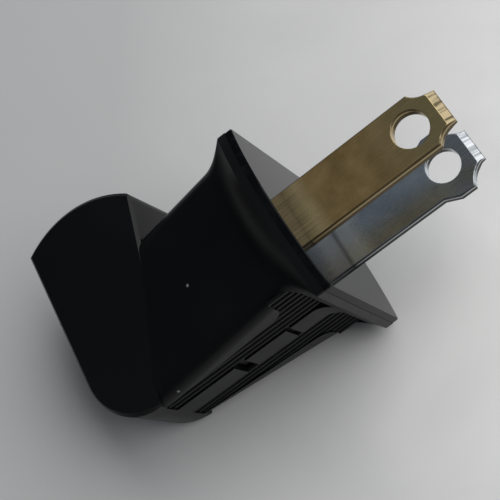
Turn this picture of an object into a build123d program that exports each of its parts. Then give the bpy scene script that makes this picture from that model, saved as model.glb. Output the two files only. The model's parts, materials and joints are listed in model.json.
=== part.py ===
from build123d import *
import os

# Two-blade angled plug, in millimetres. It is drawn with its face on the plane Y = 0, the blades
# pointing along +Y, the cord neck towards -X and the ribbed grip side towards +X. At the end it is
# laid down about the middle of its face, the way it comes to rest on its lower side: on the edge
# of its flange, on the end of its neck and on its back corner.
lie_pitch = 15.15
lie_roll = 2.97

# Blades, to the sizes of the standard polarised two-blade plug
blade_spacing = 12.7
blade_thickness = 1.52
blade_width = 6.35
wide_tip_width = 7.94
blade_length = 18.1
hole_from_face = 14.1
hole_diameter = 3.96
tip_width = 4.0
tip_bevel = 0.9
tip_gauge = 0.7
tail_width = 5.6
tail_height = 3.8
tail_end = 13.6
tail_shoulder = 0.6
step_start = 4.8
step_end = 7.2
bend_radius = 1.9
hole_to_corner_cut = 1.45
corner_cut_length = 2.0
corner_cut_sag = 0.3
wide_tip_start = 2.1
wide_tip_full = 0.4

# Flange round the face
flange_neck_side = 10.5
flange_grip_side = 9.6
flange_corner = 10.9
flange_middle = 13.3
flange_radius = 0.5
plate_thickness = 0.8
plate_margin = 0.05
plate_edge = 0.12
rim_depth = 1.7
flare_depth = 5.2
flare_power = 2.2
flare_shares = (0, 0.2, 0.45, 0.72)

# Wedge-shaped body: half height at the face, and how fast it falls towards the back
body_neck_side = 8.9
body_grip_side = 7.3
wedge_height = 11.85
wedge_slope = 0.25
body_corner_radius = 1.7
back_corner_radius = 6.6
back_at_corner = 29.6

# Cord neck
neck_end_front = (-13.4, -13.6)
neck_end_middle = (-17.15, -22.6)
neck_end_back = (-16.1, -28.4)
neck_root_front = (-8.4, -15.4)
neck_height = 8.0
neck_rise_outward = 0.062
neck_fall_back = 0.129
neck_edge = 0.35
neck_corner_radius = 1.0
cord_axis_depth = 21.2
cord_hole_diameter = 7.0

# Room inside the housing
wall = 1.7
cavity_neck_side = 7.1
cavity_grip_side = 5.2
cavity_depth = 24.9
cavity_radius = 0.8
clamp_pocket = (-14.0, -10.8, -27.2, -15.2, -3.7, 5.6)

# Grip on the +X side
grip_front = 2.9
grip_back = 23.2
grip_depth = 0.5
rib_pitch = 1.1
rib_height = 0.38
rib_field_margin = 0.9
land_half_width = 1.75
tongue_tip = 6.4
tongue_inner_front = 6.1
tongue_inner_back = 4.4
tongue_nose = 1.6
tongue_shoulder = 2.2
window_depth = 14.6
window_length = 1.5
window_half_width = 2.7
land_break_depth = 7.9
land_break_length = 0.55
grip_overcut = 0.1

# Carrier that holds the contacts behind the face
carrier_base_depth = 4.0
carrier_half_width = 3.6
carrier_tail_cover = 0.4
carrier_clearance = 0.1
terminal_room_radius = 1.9
terminal_room_depth = 2.2
peg_x = -5.2
peg_z = 3.2
peg_radius = 1.1
peg_reach = 2.4
latch_thickness = 1.0
latch_half_width = 2.3
latch_tooth_sunk = 0.9

# Screws and pressure plates
terminal_depth = 10.2
terminal_shank_radius = 1.6
terminal_head_radius = 2.5
terminal_head_height = 1.4
terminal_shank_length = 4.2
plate_width = 7.4
plate_length = 4.4
plate_gauge = 0.8
plate_lip = 0.6
clamp_screw_x = -12.4
clamp_screw_offset = 4.5
clamp_shank_radius = 0.9
clamp_head_radius = 1.5
clamp_head_height = 1.2
clamp_head_seat = 5.5
clamp_head_clearance = 0.15
clamp_bar_low = 3.95
clamp_bar_high = 5.25
clamp_bar_clearance = 0.2
clamp_ridge_radius = 0.35
clamp_ridge_offset = 0.65
cutter_length = 6.0
slot_width = 0.7
slot_depth = 0.6
terminal_slot_turn = 20
screw_head_edge = 0.3

blade_z = blade_spacing / 2
half_gauge = blade_thickness / 2
carrier_half_height = tail_height - half_gauge


def box(x_low, x_high, y_low, y_high, z_low, z_high):
    """A box between two corners."""
    middle = Pos((x_low + x_high) / 2, (y_low + y_high) / 2, (z_low + z_high) / 2)
    return middle * Box(x_high - x_low, y_high - y_low, z_high - z_low)


def wedge_half_height(depth):
    """Half height of the wedge-shaped body at a depth behind the face."""
    return wedge_height - wedge_slope * depth


def bowed_outline(depth, neck_side, grip_side, corner, middle, radius):
    """Cross-section of flange or flare: two straight sides, two bowed ones, rounded corners."""
    centre = (grip_side - neck_side) / 2
    top = ThreePointArc((-neck_side, corner), (centre, middle), (grip_side, corner))
    bottom = ThreePointArc((grip_side, -corner), (centre, -middle), (-neck_side, -corner))
    right = Line((grip_side, corner), (grip_side, -corner))
    left = Line((-neck_side, -corner), (-neck_side, corner))
    face = make_face(top + right + bottom + left)
    return Plane.XZ.offset(depth) * fillet(face.vertices(), radius)


def flange_outline(depth, inset=0.0):
    """Outline of the flange rim and of the face plate."""
    return bowed_outline(depth, flange_neck_side - inset, flange_grip_side - inset,
                         flange_corner - inset, flange_middle - inset, flange_radius)


def flare_section(share):
    """Section of the concave flare; share runs from 0 at the rim to 1 on the body."""
    depth = rim_depth + (flare_depth - rim_depth) * share
    left = (1 - share) ** flare_power
    body = wedge_half_height(depth)
    neck_side = body_neck_side + (flange_neck_side - body_neck_side) * left
    grip_side = body_grip_side + (flange_grip_side - body_grip_side) * left
    corner = body + (flange_corner - wedge_half_height(rim_depth)) * left
    middle = body + (flange_middle - wedge_half_height(rim_depth)) * left
    radius = body_corner_radius + (flange_radius - body_corner_radius) * left
    return bowed_outline(depth, neck_side, grip_side, corner, middle, radius)


def tapered_body():
    """Tapering body behind the flare: two flat slopes, flat sides and rounded long edges."""
    back = back_at_corner + wall
    front_half = wedge_half_height(flare_depth)
    back_half = wedge_half_height(back)
    side_view = Polyline((-flare_depth, front_half), (-back, back_half), (-back, -back_half),
                         (-flare_depth, -front_half), (-flare_depth, front_half))
    side_plane = Plane.YZ.offset(-body_neck_side)
    body = extrude(side_plane * make_face(side_view), body_neck_side + body_grip_side)
    return fillet(body.edges().group_by(SortBy.LENGTH)[-1], body_corner_radius)


def flare(body):
    """Concave flare from the rim to the tapered body's front."""
    sections = [flare_section(share) for share in flare_shares]
    return loft(sections + [body.faces().sort_by(Axis.Y)[-1]])


def back_corner():
    """Round corner between the grip side and the back, in plan, with its two ends."""
    grip_end = (body_grip_side, back_corner_radius - back_at_corner)
    back_end = (body_grip_side - back_corner_radius, -back_at_corner)
    return RadiusArc(grip_end, back_end, back_corner_radius), grip_end, back_end


def round_back(body):
    """The tapered body cut to its plan, with the round back corner."""
    corner, grip_end, back_end = back_corner()
    neck_side = -body_neck_side - 1
    outline = Polyline(back_end, (neck_side, neck_end_back[1] - wall / 4), (neck_side, 0),
                       (body_grip_side, 0), grip_end)
    return body & extrude(make_face(corner + outline), wedge_height * 2, both=True)


def neck():
    """Cord neck: a flat-sided block with a bowed end, thicker at its mouth than at its root."""
    corner, grip_end, back_end = back_corner()
    outline = Polyline(grip_end, neck_root_front, neck_end_front)
    outline += ThreePointArc(neck_end_front, neck_end_middle, neck_end_back)
    outline += Line(neck_end_back, back_end)
    block = extrude(make_face(outline + corner), wedge_height, both=True)
    for side in (1, -1):
        lid = Plane(origin=(neck_root_front[0], neck_root_front[1], side * neck_height),
                    z_dir=(neck_rise_outward, -neck_fall_back, side))
        block = split(block, lid, keep=Keep.BOTTOM)
    crease_middle = (grip_end[0] + neck_root_front[0]) / 2
    lid_edges = block.edges().filter_by(Axis.Z, reverse=True)
    free_edges = lid_edges.filter_by(lambda edge: abs((edge @ 0.5).X - crease_middle) > wall)
    block = chamfer(free_edges, neck_edge)
    front_corner = block.edges().filter_by(Axis.Z).sort_by_distance((*neck_end_front, 0))[0]
    return fillet(front_corner, neck_corner_radius)


def grip_region(side):
    """Plan of the ribbed field on one half of the grip side, as a prism through the wall."""
    outer = wedge_half_height(grip_front) - rib_field_margin
    shoulder = (-tongue_tip, tongue_inner_front + tongue_shoulder)
    nose = (-tongue_tip - tongue_nose, tongue_inner_front)
    outline = Polyline(nose, (-grip_back, tongue_inner_back), (-grip_back, land_half_width),
                       (-grip_front, land_half_width), (-grip_front, outer), (-tongue_tip, outer),
                       shoulder)
    outline += SagittaArc(shoulder, nose, tongue_nose / 3)
    prism = extrude(Plane.YZ.offset(body_grip_side - grip_depth) * make_face(outline), wall)
    return prism if side > 0 else mirror(prism, about=Plane.XY)


def grip_ribs():
    """Round-topped ribs that run along the blades' direction in both ribbed fields."""
    floor = body_grip_side - grip_depth
    rows = int((wedge_half_height(grip_front) - land_half_width) / rib_pitch)
    profile = Circle(rib_height)
    ribs = []
    for side in (1, -1):
        for row in range(rows):
            z = side * (land_half_width + rib_pitch * (row + 0.5))
            rod = extrude(Plane.XZ * Pos(floor, z) * profile, grip_back + 2)
            ribs += (rod & grip_region(side)).solids()
    return ribs


def grip_cuts():
    """Break across the central land, and the window that the latch clicks into."""
    surface = body_grip_side
    land_break = box(surface - grip_depth, surface + 1, -land_break_depth - land_break_length,
                     -land_break_depth, -land_half_width - grip_overcut,
                     land_half_width + grip_overcut)
    window = box(cavity_grip_side - 1, surface + 1, -window_depth - window_length / 2,
                 -window_depth + window_length / 2, -window_half_width, window_half_width)
    return land_break, window


def core_cavity():
    """Tapered room behind the face, open at the front, that takes the carrier."""
    front_half = min(wedge_half_height(plate_thickness) - wall, flange_corner - 1)
    back_half = wedge_half_height(cavity_depth) - wall
    side_view = Polyline((-plate_thickness, front_half), (-cavity_depth, back_half),
                         (-cavity_depth, -back_half), (-plate_thickness, -front_half),
                         (-plate_thickness, front_half))
    side_plane = Plane.YZ.offset(-cavity_neck_side)
    room = extrude(side_plane * make_face(side_view), cavity_neck_side + cavity_grip_side)
    return fillet(room.edges().group_by(SortBy.LENGTH)[-1], cavity_radius)


def clamp_screw_places():
    """Depths of the two cord clamp screws, one on each side of the cord."""
    return [-cord_axis_depth - clamp_screw_offset, -cord_axis_depth + clamp_screw_offset]


def housing():
    """Moulded housing: flared flange, wedge-shaped body, cord neck and ribbed grip."""
    rim = extrude(flange_outline(plate_thickness), rim_depth - plate_thickness)
    body = tapered_body()
    shell = rim + flare(body) + round_back(body) + neck()
    for side in (1, -1):
        shell -= grip_region(side)
    shell -= core_cavity()
    shell -= box(*clamp_pocket)
    bore = Plane.YZ.offset(-cavity_neck_side + 1) * Pos(-cord_axis_depth, 0)
    shell -= extrude(bore * Circle(cord_hole_diameter / 2), neck_end_middle[0])
    for cut in grip_cuts():
        shell -= cut
    for y in clamp_screw_places():
        shell -= Pos(clamp_screw_x, y, -clamp_head_seat) * Cylinder(clamp_shank_radius, cutter_length)
        seat = Plane.XY.offset(-clamp_head_seat) * Pos(clamp_screw_x, y)
        shell -= extrude(seat * Circle(clamp_head_radius + clamp_head_clearance), -neck_height)
    for rib in grip_ribs():
        shell += rib
    return shell


def contact_path(side):
    """Side view of a contact strip: straight blade, then a step in to its terminal plate."""
    path = FilletPolyline((-tail_end, tail_height), (-step_end, tail_height),
                          (-step_start, blade_z), (blade_length, blade_z), radius=bend_radius)
    section = Plane.YZ * trace(path, line_width=blade_thickness)
    strip = extrude(section, wide_tip_width, both=True)
    return strip if side > 0 else mirror(strip, about=Plane.XY)


def blade_outline(wide):
    """Flat pattern of a contact seen along Z: tail, blade, optional wide tip, cut corners."""
    half = blade_width / 2
    tip = tip_width / 2
    broad = wide_tip_width / 2 if wide else half
    cut = hole_from_face + hole_to_corner_cut
    tail_taper = (step_start + step_end) / 2
    points = [(-tail_width / 2, -tail_end - 1), (-tail_width / 2, -tail_taper - tail_shoulder),
              (-half, -tail_taper)]
    if wide:
        points += [(-half, hole_from_face - wide_tip_start),
                   (-broad, hole_from_face - wide_tip_full)]
    points += [(-broad, cut)]
    corner_end = (-tip, cut + corner_cut_length)
    nose_end = (-tip, blade_length + 1)
    edge = Polyline(*points) + SagittaArc((-broad, cut), corner_end, -corner_cut_sag)
    edge += Line(corner_end, nose_end)
    far_end = Line(nose_end, (tip, blade_length + 1))
    near_end = Line(points[0], (-points[0][0], points[0][1]))
    face = make_face(edge + mirror(edge, about=Plane.YZ) + far_end + near_end)
    return extrude(face, blade_spacing, both=True)


def bevelled_side_view():
    """Side view that both blades fit in: full height, narrowing to a bevelled tip."""
    bevel_start = blade_length - tip_bevel
    half_tip = tip_gauge / 2
    outline = Polyline((-tail_end - 1, 0), (-tail_end - 1, blade_z + half_gauge),
                       (bevel_start, blade_z + half_gauge), (blade_length, blade_z + half_tip),
                       (blade_length, blade_z - half_tip), (bevel_start, blade_z - half_gauge),
                       (bevel_start, 0), (-tail_end - 1, 0))
    return extrude(Plane.YZ * make_face(outline), wide_tip_width, both=True)


def contact(side, wide):
    """One contact: a stamped strip, bent at its tail and drilled near its tip."""
    side_view = bevelled_side_view()
    if side < 0:
        side_view = mirror(side_view, about=Plane.XY)
    strip = contact_path(side) & blade_outline(wide) & side_view
    hole = Pos(0, hole_from_face, side * blade_z) * Cylinder(hole_diameter / 2, cutter_length)
    tapped = Cylinder(terminal_shank_radius, cutter_length)
    tapped = Pos(0, -terminal_depth, side * tail_height) * tapped
    return strip - hole - tapped


def face_plate():
    """Thin glossy plate over the front, with two blade slots and two pegs behind."""
    plate = extrude(flange_outline(0, plate_margin), plate_thickness)
    plate = chamfer(plate.faces().sort_by(Axis.Y)[-1].edges(), plate_edge)
    for side in (1, -1):
        plate -= box(-blade_width / 2, blade_width / 2, -2, 1,
                     side * blade_z - half_gauge, side * blade_z + half_gauge)
        peg = Plane.XZ.offset(plate_thickness) * Pos(peg_x, side * peg_z) * Circle(peg_radius)
        plate += extrude(peg, peg_reach)
    return plate


def contact_carrier():
    """Block behind the face plate that holds both contacts apart, with its latch arm."""
    height = 2 * (wedge_half_height(carrier_base_depth) - wall - 2 * carrier_clearance)
    width = cavity_grip_side + cavity_neck_side - 2 * carrier_clearance
    middle = Pos((cavity_grip_side - cavity_neck_side) / 2, 0)
    outline = middle * RectangleRounded(width, height, cavity_radius)
    base = extrude(Plane.XZ.offset(plate_thickness) * outline, carrier_base_depth - plate_thickness)
    block = box(-carrier_half_width, carrier_half_width, -tail_end - carrier_tail_cover,
                -carrier_base_depth, -carrier_half_height, carrier_half_height)
    arm_outside = cavity_grip_side - carrier_clearance
    window_back = -window_depth - window_length / 2
    arm = box(arm_outside - latch_thickness, arm_outside, window_back - latch_thickness / 2,
              -carrier_base_depth, -latch_half_width, latch_half_width)
    tooth = box(arm_outside - latch_thickness / 2, body_grip_side - latch_tooth_sunk,
                window_back + carrier_clearance, window_back + window_length,
                -latch_half_width, latch_half_width)
    carrier = base + block + arm + tooth
    for side in (1, -1):
        carrier -= box(-blade_width / 2, blade_width / 2, -carrier_base_depth - 1, 0,
                       side * blade_z - half_gauge, side * blade_z + half_gauge)
        room = Cylinder(terminal_room_radius, 2 * terminal_room_depth)
        carrier -= Pos(0, -terminal_depth, side * carrier_half_height) * room
        peg = Plane.XZ * Pos(peg_x, side * peg_z) * Circle(peg_radius)
        carrier -= extrude(peg, plate_thickness + peg_reach)
    return carrier


def slotted_screw(head_radius, head_height, shank_radius, shank_length):
    """Slotted cheese-head screw along +Z, with its head under the plane Z = 0."""
    head = Pos(0, 0, -head_height / 2) * Cylinder(head_radius, head_height)
    head = chamfer(head.edges().sort_by(Axis.Z)[0], screw_head_edge)
    shank = Pos(0, 0, shank_length / 2) * Cylinder(shank_radius, shank_length)
    slot = Pos(0, 0, -head_height) * Box(3 * head_radius, slot_width, 2 * slot_depth)
    return head + shank - slot


def terminal_screw(side):
    """Terminal screw, its head facing outwards on the pressure plate."""
    screw = slotted_screw(terminal_head_radius, terminal_head_height,
                          terminal_shank_radius, terminal_shank_length)
    seat = tail_height + half_gauge + plate_gauge
    screw = Pos(0, -terminal_depth, seat) * Rot(180, 0, terminal_slot_turn) * screw
    return screw if side > 0 else mirror(screw, about=Plane.XY)


def wire_clamp(side):
    """Pressure plate under a terminal screw, with two lips folded down beside the tail."""
    low = tail_height + half_gauge
    y_low = -terminal_depth - plate_length / 2
    y_high = -terminal_depth + plate_length / 2
    plate = box(-plate_width / 2, plate_width / 2, y_low, y_high, low, low + plate_gauge)
    plate -= Pos(0, -terminal_depth, low) * Cylinder(terminal_shank_radius, cutter_length)
    for end in (1, -1):
        x = end * (plate_width - plate_gauge) / 2
        plate += box(x - plate_gauge / 2, x + plate_gauge / 2, y_low, y_high,
                     low - plate_lip, low)
    return plate if side > 0 else mirror(plate, about=Plane.XY)


def cord_clamp():
    """Bar across the neck that the two clamp screws draw down on the cord."""
    x_low, x_high, y_low, y_high, z_low, z_high = clamp_pocket
    gap = clamp_bar_clearance
    bar = box(x_low + gap, x_high - gap, y_low + gap, y_high - gap, clamp_bar_low, clamp_bar_high)
    for x in (clamp_screw_x - clamp_ridge_offset, clamp_screw_x + clamp_ridge_offset):
        ridge = Rot(90, 0, 0) * Cylinder(clamp_ridge_radius, cord_hole_diameter - 1)
        bar += Pos(x, -cord_axis_depth, clamp_bar_low) * ridge
    for y in clamp_screw_places():
        bar -= Pos(clamp_screw_x, y, clamp_bar_low) * Cylinder(clamp_shank_radius, cutter_length)
    return bar


def cord_clamp_screw(y):
    """Cord clamp screw, its head sunk in the hidden side of the neck."""
    screw = slotted_screw(clamp_head_radius, clamp_head_height, clamp_shank_radius,
                          clamp_head_seat + clamp_bar_high)
    return Pos(clamp_screw_x, y, -clamp_head_seat) * screw


def plug_parts():
    """Every piece of the plug by its name."""
    parts = {
        "housing": housing(),
        "face_plate": face_plate(),
        "contact_carrier": contact_carrier(),
        "line_blade": contact(1, False),
        "neutral_blade": contact(-1, True),
        "line_terminal_screw": terminal_screw(1),
        "neutral_terminal_screw": terminal_screw(-1),
        "line_wire_clamp": wire_clamp(1),
        "neutral_wire_clamp": wire_clamp(-1),
        "cord_clamp": cord_clamp(),
    }
    for number, y in enumerate(clamp_screw_places(), start=1):
        parts[f"cord_clamp_screw_{number}"] = cord_clamp_screw(y)
    return parts


lying = Rot(lie_pitch, lie_roll, 0)
os.makedirs("parts", exist_ok=True)
for name, shape in plug_parts().items():
    export_step(lying * shape, f"parts/{name}.step")
    print(name, round(shape.volume, 1))
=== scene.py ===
import json
import math
import bpy
import numpy as np
from mathutils import Matrix, Vector


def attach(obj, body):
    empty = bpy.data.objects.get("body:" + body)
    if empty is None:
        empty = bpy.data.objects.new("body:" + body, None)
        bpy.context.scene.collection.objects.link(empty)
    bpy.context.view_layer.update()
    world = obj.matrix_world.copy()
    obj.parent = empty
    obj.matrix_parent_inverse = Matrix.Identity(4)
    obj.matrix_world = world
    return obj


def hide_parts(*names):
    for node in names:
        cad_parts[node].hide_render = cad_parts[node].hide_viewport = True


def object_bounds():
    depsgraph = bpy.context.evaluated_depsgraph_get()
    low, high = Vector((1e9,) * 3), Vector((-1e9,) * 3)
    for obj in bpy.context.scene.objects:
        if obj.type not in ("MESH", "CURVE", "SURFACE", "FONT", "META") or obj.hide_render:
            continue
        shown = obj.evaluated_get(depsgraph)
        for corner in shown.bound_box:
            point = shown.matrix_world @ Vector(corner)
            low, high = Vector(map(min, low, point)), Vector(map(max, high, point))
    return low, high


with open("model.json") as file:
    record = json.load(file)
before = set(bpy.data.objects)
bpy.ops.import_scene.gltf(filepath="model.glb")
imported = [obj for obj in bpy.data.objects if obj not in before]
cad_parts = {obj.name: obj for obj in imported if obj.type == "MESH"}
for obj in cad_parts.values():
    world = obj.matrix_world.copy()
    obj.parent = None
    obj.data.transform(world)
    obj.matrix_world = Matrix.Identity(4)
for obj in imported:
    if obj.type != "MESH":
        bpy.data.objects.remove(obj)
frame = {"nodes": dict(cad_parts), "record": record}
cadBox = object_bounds()
print("stage: frame loaded,", len(frame["nodes"]), "nodes")

mm = 0.001
bladeSpacing = 12.7  # millimetres between the two blades' middle planes
mounts = {m["name"]: m for m in frame["record"]["mounts"]}

# The plug's own axes as it lies: grip side, along the blades, from the wide blade to the narrow one
alongBlades = np.array(mounts["outlet_face"]["axis"], float)
acrossBlades = np.array(mounts["blade_holes"]["axis"], float)
towardsGrip = np.cross(alongBlades, acrossBlades)
lying = np.stack([towardsGrip, alongBlades, acrossBlades], axis=1)
liePitch = math.atan2(alongBlades[2], alongBlades[1])
lieRoll = math.asin(acrossBlades[0])


def laid(points):
    # millimetres in the plug's own axes, turned to how it lies and made metres
    return points @ lying.T * mm


def meshFromGrid(name, points, closedRows, closedColumns):
    # points is (rows, columns, 3); every four neighbours make one face, and closed ways wrap round
    rows, columns = points.shape[:2]
    r = np.arange(rows if closedRows else rows - 1)
    c = np.arange(columns if closedColumns else columns - 1)
    r, c = (a.ravel() for a in np.meshgrid(r, c, indexing="ij"))
    rNext, cNext = (r + 1) % rows, (c + 1) % columns
    faces = np.stack([r * columns + c, r * columns + cNext,
                      rNext * columns + cNext, rNext * columns + c], axis=1)
    mesh = bpy.data.meshes.new(name)
    mesh.vertices.add(rows * columns)
    mesh.vertices.foreach_set("co", points.reshape(-1).astype(np.float32))
    mesh.loops.add(faces.size)
    mesh.loops.foreach_set("vertex_index", faces.reshape(-1).astype(np.int32))
    mesh.polygons.add(len(faces))
    mesh.polygons.foreach_set("loop_start", np.arange(0, faces.size, 4, dtype=np.int32))
    mesh.update(calc_edges=True)
    mesh.polygons.foreach_set("use_smooth", np.ones(len(faces), dtype=bool))
    piece = bpy.data.objects.new(name, mesh)
    bpy.context.scene.collection.objects.link(piece)
    return piece


# Materials. Every size in them is in millimetres, and a pattern's scale is one over its size.

def linear(hexColour):
    # sRGB hex to linear light, with alpha 1
    parts = [int(hexColour[i:i + 2], 16) / 255 for i in (1, 3, 5)]
    return [p / 12.92 if p <= 0.04045 else ((p + 0.055) / 1.055) ** 2.4 for p in parts] + [1.0]


def addNode(tree, kind, inputs=None, **settings):
    # adds a node and sets its properties; an input is given a value, a socket to link, or a node
    # whose first live output is linked
    made = tree.nodes.new(kind)
    for key, value in settings.items():
        setattr(made, key, value)
    for key, value in (inputs or {}).items():
        if isinstance(value, bpy.types.Node):
            value = next(output for output in value.outputs if output.enabled)
        if isinstance(value, bpy.types.NodeSocket):
            tree.links.new(value, made.inputs[key])
        else:
            made.inputs[key].default_value = value
    return made


def newMaterial(name):
    made = bpy.data.materials.new(name)
    made.use_nodes = True
    made.node_tree.nodes.clear()
    return made, made.node_tree


def plugMillimetres(tree, grainSize=None):
    # Object coordinates turned back to the plug's own axes, in millimetres; with a grain size they
    # are divided by it along each axis, so that a pattern of scale 1 on them is drawn out to it
    spot = addNode(tree, "ShaderNodeTexCoord").outputs["Object"]
    turned = addNode(tree, "ShaderNodeMapping", {"Vector": spot, "Scale": (1 / mm,) * 3,
                                                 "Rotation": (-liePitch, -lieRoll, 0)})
    if grainSize is None:
        return turned
    shrink = [1 / size for size in grainSize]
    return addNode(tree, "ShaderNodeMapping", {"Vector": turned, "Scale": shrink})


# Moulded ABS: near-black and satin, from a tool with a fine spark-eroded grain. It has a soft sheen
# that wanders a little with the melt's flow, and a few pale specks of dust. The real grain is about
# 0.05 mm, and it is drawn three times as coarse so that it shows.
mouldedAbs = {
    "colour": "#060808", "flowColour": "#0c0d0f", "dust": "#7d807d",
    "ior": 1.5, "specular": 0.19, "roughness": (0.3, 0.42), "flowRange": (0.3, 0.7),
    "flowSize": 9.0, "grainSize": 0.16, "grainDepth": 0.0016,
    "dustSpacing": 5.0, "dustShare": (0.016, 0.03),  # full to none, as a share of the spacing
    "speckRadius": (0.12, 0.2), "speckSpots": ((-0.48, -12.98, 8.61), (7.12, -20.47, 5.76)),
}

# Glass-filled nylon: the inner carrier, dull and slightly mottled by the fibres in it
carrierNylon = {
    "colour": "#1c1b1a", "flowColour": "#2a2927", "dust": "#3c3a38",
    "ior": 1.53, "specular": 0.4, "roughness": (0.5, 0.68), "flowRange": (0.3, 0.7),
    "flowSize": 2.0, "grainSize": 0.3, "grainDepth": 0.006,
    "dustSpacing": 3.0, "dustShare": (0.016, 0.03), "speckSpots": (),
}


def makeMouldedPlastic(name, look):
    made, tree = newMaterial(name)
    spot = plugMillimetres(tree)
    flow = addNode(tree, "ShaderNodeTexNoise",
                   {"Vector": spot, "Scale": 1 / look["flowSize"], "Detail": 3.0})
    grain = addNode(tree, "ShaderNodeTexNoise",
                    {"Vector": spot, "Scale": 1 / look["grainSize"], "Detail": 2.0})
    dust = addNode(tree, "ShaderNodeTexVoronoi", {"Vector": spot, "Scale": 1 / look["dustSpacing"]})
    specks = [(dust, look["dustShare"])]
    for place in look["speckSpots"]:
        away = addNode(tree, "ShaderNodeVectorMath", {0: spot, 1: place}, operation="DISTANCE")
        specks.append((away, look["speckRadius"]))
    colour = addNode(tree, "ShaderNodeMix", {0: flow, 6: linear(look["colour"]),
                                             7: linear(look["flowColour"])}, data_type="RGBA")
    for away, (full, none) in specks:
        speck = addNode(tree, "ShaderNodeMapRange", {"Value": away, "From Min": full, "From Max": none,
                                                     "To Min": 1.0, "To Max": 0.0})
        colour = addNode(tree, "ShaderNodeMix", {0: speck, 6: colour, 7: linear(look["dust"])},
                         data_type="RGBA")
    rough = addNode(tree, "ShaderNodeMapRange",
                    {"Value": flow, "From Min": look["flowRange"][0], "From Max": look["flowRange"][1],
                     "To Min": look["roughness"][0], "To Max": look["roughness"][1]})
    bump = addNode(tree, "ShaderNodeBump", {"Height": grain, "Strength": 1.0,
                                            "Distance": look["grainDepth"] * mm})
    shader = addNode(tree, "ShaderNodeBsdfPrincipled",
                     {"Base Color": colour, "Roughness": rough, "IOR": look["ior"],
                      "Specular IOR Level": look["specular"], "Normal": bump})
    addNode(tree, "ShaderNodeOutputMaterial", {"Surface": shader})
    return made


# Polished ABS: the front plate, moulded against a mirror-finished tool, so it reflects like glass
# at a flat angle. Plugging in has left hair-fine rubs, drawn 0.12 mm wide so that they show.
polishedAbs = {
    "colour": "#0a0b0c", "rubbed": "#151618", "ior": 1.52, "specular": 0.06, "roughness": (0.06, 0.15),
    "rubSize": (6.0, 1.0, 0.12), "rubColourRange": (0.5, 0.75), "rubRoughRange": (0.35, 0.7),
    "waveSize": 5.0, "waveDepth": 0.004,
}


def makePolishedAbs(name, look):
    made, tree = newMaterial(name)
    rubs = addNode(tree, "ShaderNodeTexNoise",
                   {"Vector": plugMillimetres(tree, look["rubSize"]), "Scale": 1.0, "Detail": 4.0})
    wave = addNode(tree, "ShaderNodeTexNoise",
                   {"Vector": plugMillimetres(tree), "Scale": 1 / look["waveSize"], "Detail": 1.0})
    share = addNode(tree, "ShaderNodeMapRange", {"Value": rubs, "From Min": look["rubColourRange"][0],
                                                 "From Max": look["rubColourRange"][1]})
    colour = addNode(tree, "ShaderNodeMix", {0: share, 6: linear(look["colour"]),
                                             7: linear(look["rubbed"])}, data_type="RGBA")
    rough = addNode(tree, "ShaderNodeMapRange",
                    {"Value": rubs,
                     "From Min": look["rubRoughRange"][0], "From Max": look["rubRoughRange"][1],
                     "To Min": look["roughness"][0], "To Max": look["roughness"][1]})
    bump = addNode(tree, "ShaderNodeBump", {"Height": wave, "Strength": 1.0,
                                            "Distance": look["waveDepth"] * mm})
    shader = addNode(tree, "ShaderNodeBsdfPrincipled",
                     {"Base Color": colour, "Roughness": rough, "IOR": look["ior"],
                      "Specular IOR Level": look["specular"], "Normal": bump})
    addNode(tree, "ShaderNodeOutputMaterial", {"Surface": shader})
    return made


# Rolled and stamped metal strip: long fine scratches from the roll and from many insertions, a
# duller mottled band where the face has rubbed it, and a soft tarnish that wanders and deepens
# towards the tip. The sides cut by the die are rougher, and their dark colour is painted shade,
# picked by the way the surface faces; along them runs one burnished line, and the die leaves fine
# marks on the bevel and in the hole. A faint dark line at the blade's base is painted shade of the
# slot's gap. Real scratches and marks are far finer: they are drawn 0.06 and 0.25 mm wide so that
# they show.
# In both strips, the colour for the faint dark line at the blade's base is painted shade of the slot's gap
# In both strips, the dark colour of the sides cut by the die is painted shade, picked by the way they face
brassStrip = {
    "paints": {"clean": "#c9ab76", "tarnish": "#a38757", "aged": "#a5956c", "rubbed": "#dcc593",
               "shearedShade": "#594a30", "burnished": "#b5a67f", "worked": "#463f31", "marks": "#85795f",
               "slotShade": "#6f5f40"},
    "roughness": (0.16, 0.30), "scratchDepth": 0.0012, "tarnishSize": 3.5,
    "agedFromTo": (8.0, 15.0), "bandEnd": 2.6, "bandFade": 1.6, "bandRoughness": 0.07, "slotShadeShare": 0.25,
}
nickelStrip = {
    "paints": {"clean": "#a7b3bd", "tarnish": "#8d9aa5", "aged": "#868d93", "rubbed": "#d9e2e8",
               "shearedShade": "#3c3e40", "burnished": "#c3c6c6", "worked": "#777a7d", "marks": "#a3a6a9",
               "slotShade": "#3d4144"},
    "roughness": (0.2, 0.3), "scratchDepth": 0.001, "tarnishSize": 4.5,
    "agedFromTo": (11.0, 15.0), "bandEnd": 3.2, "bandFade": 1.8, "bandRoughness": 0.06, "slotShadeShare": 0.6,
}
stripWear = {
    "scratchSize": (0.06, 5.0, 0.06), "scratchRange": (0.3, 0.7),
    "tarnishRange": (0.35, 0.65), "bandWobble": 2.4, "slotShadeReach": 0.45,
    "markSize": (0.25, 5.0, 5.0), "markRange": (0.42, 0.58),
    "lineAt": 0.22, "lineHalf": 0.2,  # the burnished line's height above the strip's middle
    "sideRange": (0.5, 0.8), "workedRange": (0.93, 0.97), "wallRange": (0.3, 0.6),  # by the normal
    "sideRoughness": 0.2, "workedRoughness": 0.12,
}


def stripFacing(tree, way):
    # how far the surface faces along one of the plug's axes, either way round, from 0 to 1
    normal = addNode(tree, "ShaderNodeTexCoord").outputs["Normal"]
    along = addNode(tree, "ShaderNodeVectorMath", {0: normal, 1: tuple(way)}, operation="DOT_PRODUCT")
    return addNode(tree, "ShaderNodeMath", {0: along}, operation="ABSOLUTE")


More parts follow.
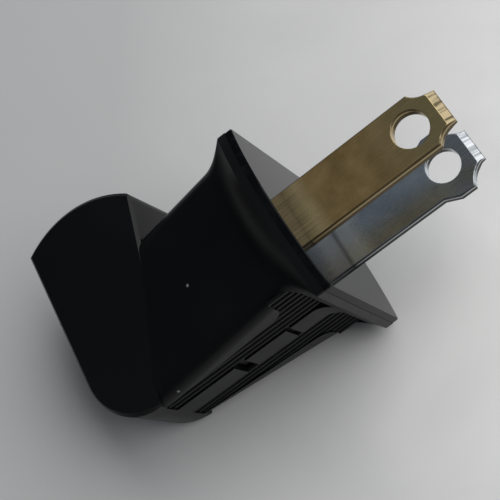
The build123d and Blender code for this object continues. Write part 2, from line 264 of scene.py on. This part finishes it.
def burnishedLine(tree, height):
    # 1 on a line that runs along each blade's side, by the height above that blade's middle
    wear = stripWear
    level = addNode(tree, "ShaderNodeMath", {0: height, 1: wear["lineAt"]}, operation="SUBTRACT")
    level = addNode(tree, "ShaderNodeMath", {0: level}, operation="ABSOLUTE")
    level = addNode(tree, "ShaderNodeMath", {0: level, 1: bladeSpacing / 2}, operation="SUBTRACT")
    level = addNode(tree, "ShaderNodeMath", {0: level}, operation="ABSOLUTE")
    return addNode(tree, "ShaderNodeMapRange",
                   {"Value": level, "From Min": wear["lineHalf"] / 2, "From Max": wear["lineHalf"],
                    "To Min": 1.0, "To Max": 0.0})


def makeStrip(name, look):
    made, tree = newMaterial(name)
    wear = stripWear
    paint = {key: linear(value) for key, value in look["paints"].items()}
    spot = plugMillimetres(tree)
    apart = addNode(tree, "ShaderNodeSeparateXYZ", {"Vector": spot})
    along, height = apart.outputs["Y"], apart.outputs["Z"]
    scratch = addNode(tree, "ShaderNodeTexNoise",
                      {"Vector": plugMillimetres(tree, wear["scratchSize"]), "Scale": 1.0, "Detail": 3.0})
    tarnish = addNode(tree, "ShaderNodeTexNoise",
                      {"Vector": spot, "Scale": 1 / look["tarnishSize"], "Detail": 5.0, "Roughness": 0.6})
    marks = addNode(tree, "ShaderNodeTexNoise",
                    {"Vector": plugMillimetres(tree, wear["markSize"]), "Scale": 1.0, "Detail": 2.0})
    wobble = addNode(tree, "ShaderNodeMath", {0: tarnish, 1: wear["bandWobble"], 2: along},
                     operation="MULTIPLY_ADD")
    slotShadeEnd = addNode(tree, "ShaderNodeMath", {0: tarnish, 1: wear["slotShadeReach"] * 2},
                       operation="MULTIPLY")
    sideways, upwards = stripFacing(tree, towardsGrip), stripFacing(tree, acrossBlades)

    ranges = {  # what is measured, where from and to, and the share at each end
        "patch": (tarnish, wear["tarnishRange"], (0.0, 1.0)),
        "band": (wobble, (look["bandEnd"], look["bandEnd"] + look["bandFade"]), (1.0, 0.0)),
        "aged": (along, look["agedFromTo"], (0.0, 1.0)),
        "marks": (marks, wear["markRange"], (0.0, 1.0)),
        "wall": (upwards, wear["wallRange"], (1.0, 0.0)),
        "worked": (upwards, wear["workedRange"], (1.0, 0.0)),
        # painted shade: surfaces facing sideways get the dark side colour, picked by the way they face;
        # the roughness added there is the rough edge the die cut
        "side": (sideways, wear["sideRange"], (0.0, 1.0)),
        # painted shade: a faint dark line at the blade's base, where the slot's gap shades it, fading out
        # within a reach that wanders
        "slotShade": (along, (0.0, slotShadeEnd), (look["slotShadeShare"], 0.0)),
        "rough": (scratch, wear["scratchRange"], look["roughness"]),
    }
    share = {key: addNode(tree, "ShaderNodeMapRange", {"Value": value, "From Min": low, "From Max": high,
                                                       "To Min": atLow, "To Max": atHigh})
             for key, (value, (low, high), (atLow, atHigh)) in ranges.items()}
    share["line"] = burnishedLine(tree, height)

    layers = {  # each is mixed from two paints or earlier layers by a share
        "flat": ("patch", "tarnish", "clean"), "handled": ("band", "flat", "rubbed"),
        "old": ("aged", "handled", "aged"), "bevel": ("marks", "worked", "marks"),
        "bored": ("marks", "burnished", "rubbed"), "cut": ("wall", "bevel", "bored"),
        # the edge layer lays the burnished line over the painted shade of the sides
        "formed": ("worked", "old", "cut"), "edge": ("line", "shearedShade", "burnished"),
        # the last layer lays the painted shade at the blade's base over all the others
        "edged": ("side", "formed", "edge"), "slotShaded": ("slotShade", "edged", "slotShade"),
    }
    for key, (by, first, second) in layers.items():
        paint[key] = addNode(tree, "ShaderNodeMix", {0: share[by], 6: paint[first], 7: paint[second]},
                             data_type="RGBA")
    rough = share["rough"]
    for by, added in (("band", look["bandRoughness"]), ("side", wear["sideRoughness"]),
                      ("worked", wear["workedRoughness"])):
        rough = addNode(tree, "ShaderNodeMath", {0: share[by], 1: added, 2: rough},
                        operation="MULTIPLY_ADD")
    bump = addNode(tree, "ShaderNodeBump", {"Height": scratch, "Strength": 1.0,
                                            "Distance": look["scratchDepth"] * mm})
    shader = addNode(tree, "ShaderNodeBsdfPrincipled",
                     {"Base Color": paint["slotShaded"], "Metallic": 1.0, "Roughness": rough, "Normal": bump})
    addNode(tree, "ShaderNodeOutputMaterial", {"Surface": shader})
    return made


# Zinc-plated steel, turned or punched, and turned brass: bright, with a fine crystalline dullness.
# The real crystals are about a tenth of a millimetre, and are drawn larger so that they show.
platedSteel = {"colour": "#9fa3a6", "dull": "#7d8184", "roughness": (0.28, 0.5), "grainSize": 0.25,
               "grainDepth": 0.003, "grainRange": (0.35, 0.65)}
turnedBrass = {"colour": "#cdab70", "dull": "#a4854f", "roughness": (0.24, 0.42), "grainSize": 0.25,
               "grainDepth": 0.002, "grainRange": (0.35, 0.65)}


def makeFinelyGrained(name, look):
    made, tree = newMaterial(name)
    grain = addNode(tree, "ShaderNodeTexNoise",
                    {"Vector": plugMillimetres(tree), "Scale": 1 / look["grainSize"], "Detail": 4.0})
    colour = addNode(tree, "ShaderNodeMix", {0: grain, 6: linear(look["dull"]), 7: linear(look["colour"])},
                     data_type="RGBA")
    rough = addNode(tree, "ShaderNodeMapRange",
                    {"Value": grain, "From Min": look["grainRange"][0], "From Max": look["grainRange"][1],
                     "To Min": look["roughness"][0], "To Max": look["roughness"][1]})
    bump = addNode(tree, "ShaderNodeBump", {"Height": grain, "Strength": 1.0,
                                            "Distance": look["grainDepth"] * mm})
    shader = addNode(tree, "ShaderNodeBsdfPrincipled",
                     {"Base Color": colour, "Metallic": 1.0, "Roughness": rough, "Normal": bump})
    addNode(tree, "ShaderNodeOutputMaterial", {"Surface": shader})
    return made


looks = {
    "housing": makeMouldedPlastic("moulded ABS, satin", mouldedAbs),
    "face": makePolishedAbs("moulded ABS, polished", polishedAbs),
    "carrier": makeMouldedPlastic("glass-filled nylon", carrierNylon),
    "brass": makeStrip("rolled brass strip", brassStrip),
    "nickel": makeStrip("nickel-plated strip", nickelStrip),
    "steel": makeFinelyGrained("zinc-plated steel", platedSteel),
    "turnedBrass": makeFinelyGrained("turned brass", turnedBrass),
}
print("stage: materials made")


# Blades. Each is one closed surface of two parameters: the angle about its hole, and the way round
# its section, from the hole's wall over the upper face, round the outer edge and back underneath.
bladeShape = {
    "length": 18.1, "width": 6.35, "wideTip": 7.94, "gauge": 1.52,
    "holeFromFace": 14.1, "noseWidth": 4.0, "noseGauge": 0.7, "bevel": 0.9,
    "cutFromHole": 1.45, "cutLength": 2.0, "cutSag": 0.3, "wideStart": 2.1, "wideFull": 0.4,
    "tailWidth": 5.6, "tailEnd": 13.6, "tailHeight": 3.8, "tailShoulder": 0.6,
    "stepStart": 4.8, "stepEnd": 7.2, "edgeRadius": 0.13, "holeRim": 0.06,
    "ridgeDepth": 0.009, "ridges": ((0.3, 0.32, 0.0), (0.111, 0.18, 1.3)),  # pitch, share, shift
    "ridgeFades": (5, 8),  # how steeply they set in after the bevel's start and end before the nose
}
bladeMesh = {
    "cutPoints": 13, "outlineStep": 0.4,  # millimetres between points of the outline
    "squeeze": 6.0, "evenColumns": 180, "noseColumns": 84, "columnGap": 0.03,  # the gap in radians
    "roundRows": 5, "flatRows": 41, "bevelRows": 9,
    "flatReach": 0.94, "reachLimits": (0.2, 0.985), "mitreLimit": 0.35,
}
holeRadius = mounts["blade_holes"]["dims"]["r_mm"]


def bladeOutline(wide):
    # the right half, from the tail to the nose, is straight runs and one hollow arc, whose points
    # stand off their chord by four times the sag, times the share walked and the share left; the
    # left half mirrors it
    b = bladeShape
    half, tip, tail = b["width"] / 2, b["noseWidth"] / 2, b["tailWidth"] / 2
    broad = b["wideTip"] / 2 if wide else half
    hole, nose = b["holeFromFace"], b["length"]
    cut = hole + b["cutFromHole"]
    taper = (b["stepStart"] + b["stepEnd"]) / 2
    corners = [(tail, -b["tailEnd"]), (tail, -taper - b["tailShoulder"]), (half, -taper)]
    if wide:
        corners += [(half, hole - b["wideStart"]), (broad, hole - b["wideFull"])]
    corners += [(broad, cut)]
    share = np.linspace(0, 1, bladeMesh["cutPoints"])[1:-1]
    start, end = np.array([broad, cut]), np.array([tip, cut + b["cutLength"]])
    chord = end - start
    inward = np.array([-chord[1], chord[0]]) / np.linalg.norm(chord)
    bow = 4 * b["cutSag"] * share * (1 - share)
    arc = start + np.outer(share, chord) + np.outer(bow, inward)
    right = np.vstack([corners, arc, [end], [(tip, nose)]])
    return np.vstack([right, right[::-1] * [-1, 1]])


def bladeLoops(wide):
    # the outline at even steps of length, of angle about the hole's centre and, at the nose, of a
    # finer angle; each point has its inward mitre, the sum of both its sides' normals over one plus
    # their dot product. Behind the hole the outline is squeezed along its length before its angle is
    # taken, so that no column runs close beside the blade's edge.
    b, mesh = bladeShape, bladeMesh
    outline = bladeOutline(wide)
    centre = np.array([0, b["holeFromFace"]])
    ends = np.roll(outline, -1, axis=0)
    lengths = np.linalg.norm(ends - outline, axis=1)
    walked = np.concatenate([[0], np.cumsum(lengths)])
    steps = np.arange(0, walked[-1], mesh["outlineStep"])
    apart = np.abs(steps[:, None] - walked).min(axis=1)
    places = np.sort(np.concatenate([walked, steps[apart > mesh["outlineStep"] / 3]]))
    closed = np.vstack([outline, outline[:1]])
    dense = np.stack([np.interp(places, walked, closed[:, i]) for i in (0, 1)], axis=1)[:-1]
    rel = dense - centre
    squeezed = np.where(rel[:, 1] < 0, rel[:, 1] / mesh["squeeze"], rel[:, 1])
    angles = np.arctan2(squeezed, rel[:, 0])
    order = np.argsort(angles)
    nose = math.atan2(b["length"] - centre[1], b["noseWidth"] / 2)
    gap = mesh["columnGap"]
    even = np.linspace(-math.pi, math.pi, mesh["evenColumns"], endpoint=False)
    even = even[np.abs(even[:, None] - angles).min(axis=1) > gap]
    wanted = np.concatenate([angles, even])
    wanted = wanted[np.abs(wanted - math.pi / 2) > math.pi / 2 - nose - 1e-6]
    fine = np.linspace(nose + gap, math.pi - nose - gap, mesh["noseColumns"])
    wanted = np.sort(np.concatenate([wanted, fine]))
    x = np.interp(wanted, angles[order], dense[order, 0], period=2 * math.pi)
    y = np.interp(wanted, angles[order], dense[order, 1], period=2 * math.pi)
    loop = np.stack([x, y], axis=1)
    step = np.roll(loop, -1, axis=0) - loop
    step /= np.maximum(np.linalg.norm(step, axis=1, keepdims=True), 1e-9)
    left = np.stack([-step[:, 1], step[:, 0]], axis=1)
    before = np.roll(left, 1, axis=0)
    mitre = (left + before) / np.maximum(1 + (left * before).sum(1, keepdims=True), mesh["mitreLimit"])
    around = np.stack([np.cos(wanted), np.sin(wanted)], axis=1)
    return centre, loop, mitre, around


def bladeHeight(x, y):
    # half the gauge, less a straight fall over the bevel at the nose, less a half and two cosine waves
    # across the bevel, which are the ridges that shearing left; they fade out at its two ends
    b = bladeShape
    share = np.clip((y - b["length"] + b["bevel"]) / b["bevel"], 0, 1)
    ridges = 0.5 + sum(part * np.cos(2 * math.pi * x / pitch + shift)
                       for pitch, part, shift in b["ridges"])
    setIn, setOut = b["ridgeFades"]
    depth = b["ridgeDepth"] * ridges * np.clip(share * setIn, 0, 1) * np.clip((1 - share) * setOut, 0, 1)
    return b["gauge"] / 2 - (b["gauge"] - b["noseGauge"]) / 2 * share - depth


def upperHalf(wide):
    # loops from the hole's wall to the outer edge, each with its height above the middle plane: the
    # hole's rim and the outer edge are quarter rounds by cosine and sine of the turn, and the loops
    # between are a share of the way from the rim to the edge, close together over the bevel
    b, mesh = bladeShape, bladeMesh
    centre, outer, mitre, around = bladeLoops(wide)
    quarter = np.linspace(0, math.pi / 2, mesh["roundRows"])
    loops, drops = [], []
    for turn in quarter:  # rolled-in rim of the hole, half as deep as it is wide
        loops.append(centre + around * (holeRadius + b["holeRim"] * (1 - math.cos(turn))))
        drops.append(b["holeRim"] * 0.5 * (1 - math.sin(turn)))
    inner, edge = loops[-1], outer + mitre * b["edgeRadius"]
    bevelLine = b["length"] - b["bevel"]
    reach = np.where(edge[:, 1] > bevelLine,
                     (bevelLine - inner[:, 1]) / np.maximum(edge[:, 1] - inner[:, 1], 1e-6),
                     mesh["flatReach"])
    reach = np.clip(reach, *mesh["reachLimits"])[:, None]
    for share in np.linspace(0, 1, mesh["flatRows"])[1:]:
        loops.append(inner + (edge - inner) * reach * share)
        drops.append(0.0)
    for share in np.linspace(0, 1, mesh["bevelRows"])[1:]:
        loops.append(inner + (edge - inner) * (reach + (1 - reach) * share))
        drops.append(0.0)
    for turn in quarter[1:]:  # edge rounded by the die
        loops.append(outer + mitre * b["edgeRadius"] * (1 - math.sin(turn)))
        drops.append(b["edgeRadius"] * (1 - math.cos(turn)))
    flat = np.stack(loops)
    height = bladeHeight(flat[..., 0], flat[..., 1]) - np.array(drops)[:, None]
    return flat, height


def bladeSurface(side, wide):
    # both halves joined into one ring of loops, then bent behind the face along a middle line that
    # falls by three times the share squared less twice its cube; the gauge stays square to that
    # line, by its slope, which is the fall's derivative
    b = bladeShape
    flat, height = upperHalf(wide)
    x = np.concatenate([flat[..., 0], flat[::-1, :, 0]])
    y = np.concatenate([flat[..., 1], flat[::-1, :, 1]])
    z = np.concatenate([height, -height[::-1]])
    share = np.clip((-y - b["stepStart"]) / (b["stepEnd"] - b["stepStart"]), 0, 1)
    fall = bladeSpacing / 2 - b["tailHeight"]
    middle = bladeSpacing / 2 - fall * share * share * (3 - 2 * share)
    slope = fall * 6 * share * (1 - share) / (b["stepEnd"] - b["stepStart"])
    scale = 1 / np.sqrt(1 + slope * slope)
    points = np.stack([x, y - z * slope * scale, middle + z * scale], axis=-1)
    points[..., 2] *= side
    return points if side < 0 else points[:, ::-1]


def makeBlade(name, node, side, wide, look):
    piece = meshFromGrid(name, laid(bladeSurface(side, wide)), True, True)
    piece.data.materials.append(look)
    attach(piece, "root")
    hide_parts(node)


makeBlade("brassBlade", "line_blade", 1, False, looks["brass"])
makeBlade("nickelBlade", "neutral_blade", -1, True, looks["nickel"])
print("stage: blades made")


# Carried-over pieces get their materials
nodeLooks = {
    "housing": "housing", "face_plate": "face", "contact_carrier": "carrier",
    "line_terminal_screw": "turnedBrass", "neutral_terminal_screw": "steel",
    "line_wire_clamp": "steel", "neutral_wire_clamp": "steel", "cord_clamp": "steel",
    "cord_clamp_screw_1": "steel", "cord_clamp_screw_2": "steel",
}
for nodeName, lookName in nodeLooks.items():
    node = frame["nodes"][nodeName]
    node.data.materials.clear()
    node.data.materials.append(looks[lookName])
print("stage: carried-over pieces dressed")


# Floor: a pale honed stone top, matt, with faint wandering veins, and painted light that falls off across
# it, so one side is darker
floorLook = {
    # the dull and bright colours are the dim and lit ends of painted light falling off across the floor;
    # the vein colour is the stone's own
    "dull": "#b2b2b2", "bright": "#e6e5e3", "vein": "#a9a9ab", "veinShare": 0.3, "roughness": 0.55,
    "veinSize": 30.0, "veinRange": (0.45, 0.75), "falloffSpan": 32.0, "falloffWay": (0.47, 0.88, 0),
    "size": 1.6,  # metres
}


def makeFloor(look):
    made, tree = newMaterial("honed stone")
    spot = plugMillimetres(tree)
    veins = addNode(tree, "ShaderNodeTexNoise",
                    {"Vector": spot, "Scale": 1 / look["veinSize"], "Detail": 4.0, "Distortion": 0.8})
    share = addNode(tree, "ShaderNodeMapRange", {"Value": veins, "From Min": look["veinRange"][0],
                                                 "From Max": look["veinRange"][1],
                                                 "To Max": look["veinShare"]})
    # painted light: the colour runs from the dull end to the bright end across the floor, in place of
    # light that falls off to one side
    across = addNode(tree, "ShaderNodeVectorMath", {0: spot, 1: look["falloffWay"]}, operation="DOT_PRODUCT")
    paintedFalloff = addNode(tree, "ShaderNodeMapRange", {"Value": across, "From Min": -look["falloffSpan"],
                                                "From Max": look["falloffSpan"]})
    colour = addNode(tree, "ShaderNodeMix", {0: paintedFalloff, 6: linear(look["dull"]), 7: linear(look["bright"])},
                     data_type="RGBA")
    colour = addNode(tree, "ShaderNodeMix", {0: share, 6: colour, 7: linear(look["vein"])},
                     data_type="RGBA")
    shader = addNode(tree, "ShaderNodeBsdfPrincipled",
                     {"Base Color": colour, "Roughness": look["roughness"]})
    addNode(tree, "ShaderNodeOutputMaterial", {"Surface": shader})
    half, level = look["size"] / 2, cadBox[0].z
    corners = np.array([[[-half, -half, level], [half, -half, level]],
                        [[-half, half, level], [half, half, level]]])
    piece = meshFromGrid("floor", corners, False, False)
    piece.data.materials.append(made)


makeFloor(floorLook)
print("stage: floor made")


# Light: one wide soft lamp over the blades' end, and a room that is dim low down and paler overhead.
# A lamp's lengths are in metres and its power in watts.
lamps = {
    "windowSoft": {"azimuth": -10, "elevation": 52, "distance": 0.6, "width": 1.2, "height": 0.6,
                   "power": 6.0},
}
roomLook = {"low": "#3c3e41", "high": "#84878b", "lowEnd": 0.3, "strength": 1.0, "seen": "#cdcccb"}


def direction(azimuth, elevation):
    # unit vector; azimuth 0 is +Y, 90 is +X
    a, e = math.radians(azimuth), math.radians(elevation)
    return Vector((math.cos(e) * math.sin(a), math.cos(e) * math.cos(a), math.sin(e)))


def makeLamps():
    for name, lamp in lamps.items():
        light = bpy.data.lights.new(name, "AREA")
        light.shape, light.energy = "RECTANGLE", lamp["power"]
        light.size, light.size_y = lamp["width"], lamp["height"]
        holder = bpy.data.objects.new(name, light)
        way = direction(lamp["azimuth"], lamp["elevation"])
        holder.location = way * lamp["distance"]
        holder.rotation_euler = way.to_track_quat("Z", "Y").to_euler()
        bpy.context.scene.collection.objects.link(holder)


def makeRoom():
    # what lights the object is dim; what the camera sees past the floor is pale
    world = bpy.data.worlds.new("room")
    bpy.context.scene.world = world
    world.use_nodes = True
    tree = world.node_tree
    tree.nodes.clear()
    path = addNode(tree, "ShaderNodeLightPath")
    way = addNode(tree, "ShaderNodeTexCoord").outputs["Generated"]
    height = addNode(tree, "ShaderNodeSeparateXYZ", {"Vector": way}).outputs["Z"]
    lift = addNode(tree, "ShaderNodeMapRange", {"Value": height, "From Min": roomLook["lowEnd"]})
    colour = addNode(tree, "ShaderNodeMix", {0: lift, 6: linear(roomLook["low"]),
                                             7: linear(roomLook["high"])}, data_type="RGBA")
    colour = addNode(tree, "ShaderNodeMix", {0: path.outputs["Is Camera Ray"], 6: colour,
                                             7: linear(roomLook["seen"])}, data_type="RGBA")
    back = addNode(tree, "ShaderNodeBackground", {"Color": colour, "Strength": roomLook["strength"]})
    addNode(tree, "ShaderNodeOutputWorld", {"Surface": back})


makeLamps()
makeRoom()
print("stage: light made")


# Camera at the photograph's angle: azimuth 0 looks along +Y, and roll turns the picture. Distance
# and aim are in metres, and the lens and the sensor's width in millimetres.
photoView = {"azimuth": 89.56, "elevation": 63.29, "roll": -30.0, "distance": 0.11185,
             "aim": (-0.00309, -0.00745, -0.00138), "lens": 74.27, "sensor": 36.0}


def makeCamera():
    v = photoView
    a, e = math.radians(v["azimuth"]), math.radians(v["elevation"])
    back = Vector((math.cos(e) * math.sin(a), -math.cos(e) * math.cos(a), math.sin(e)))
    right = Vector((0, 0, 1)).cross(back).normalized()
    up = back.cross(right)
    turn = math.radians(v["roll"])
    right, up = (right * math.cos(turn) + up * math.sin(turn),
                 up * math.cos(turn) - right * math.sin(turn))
    data = bpy.data.cameras.new("photoCamera")
    data.lens, data.sensor_width = v["lens"], v["sensor"]
    data.clip_start, data.clip_end = 0.005, 10
    camera = bpy.data.objects.new("photoCamera", data)
    place = Matrix((right, up, back)).transposed().to_4x4()
    place.translation = Vector(v["aim"]) + back * v["distance"]
    camera.matrix_world = place
    bpy.context.scene.collection.objects.link(camera)
    bpy.context.scene.camera = camera


makeCamera()
bpy.context.scene.view_settings.view_transform = "Standard"
print("stage: camera made")

bpy.context.view_layer.update()
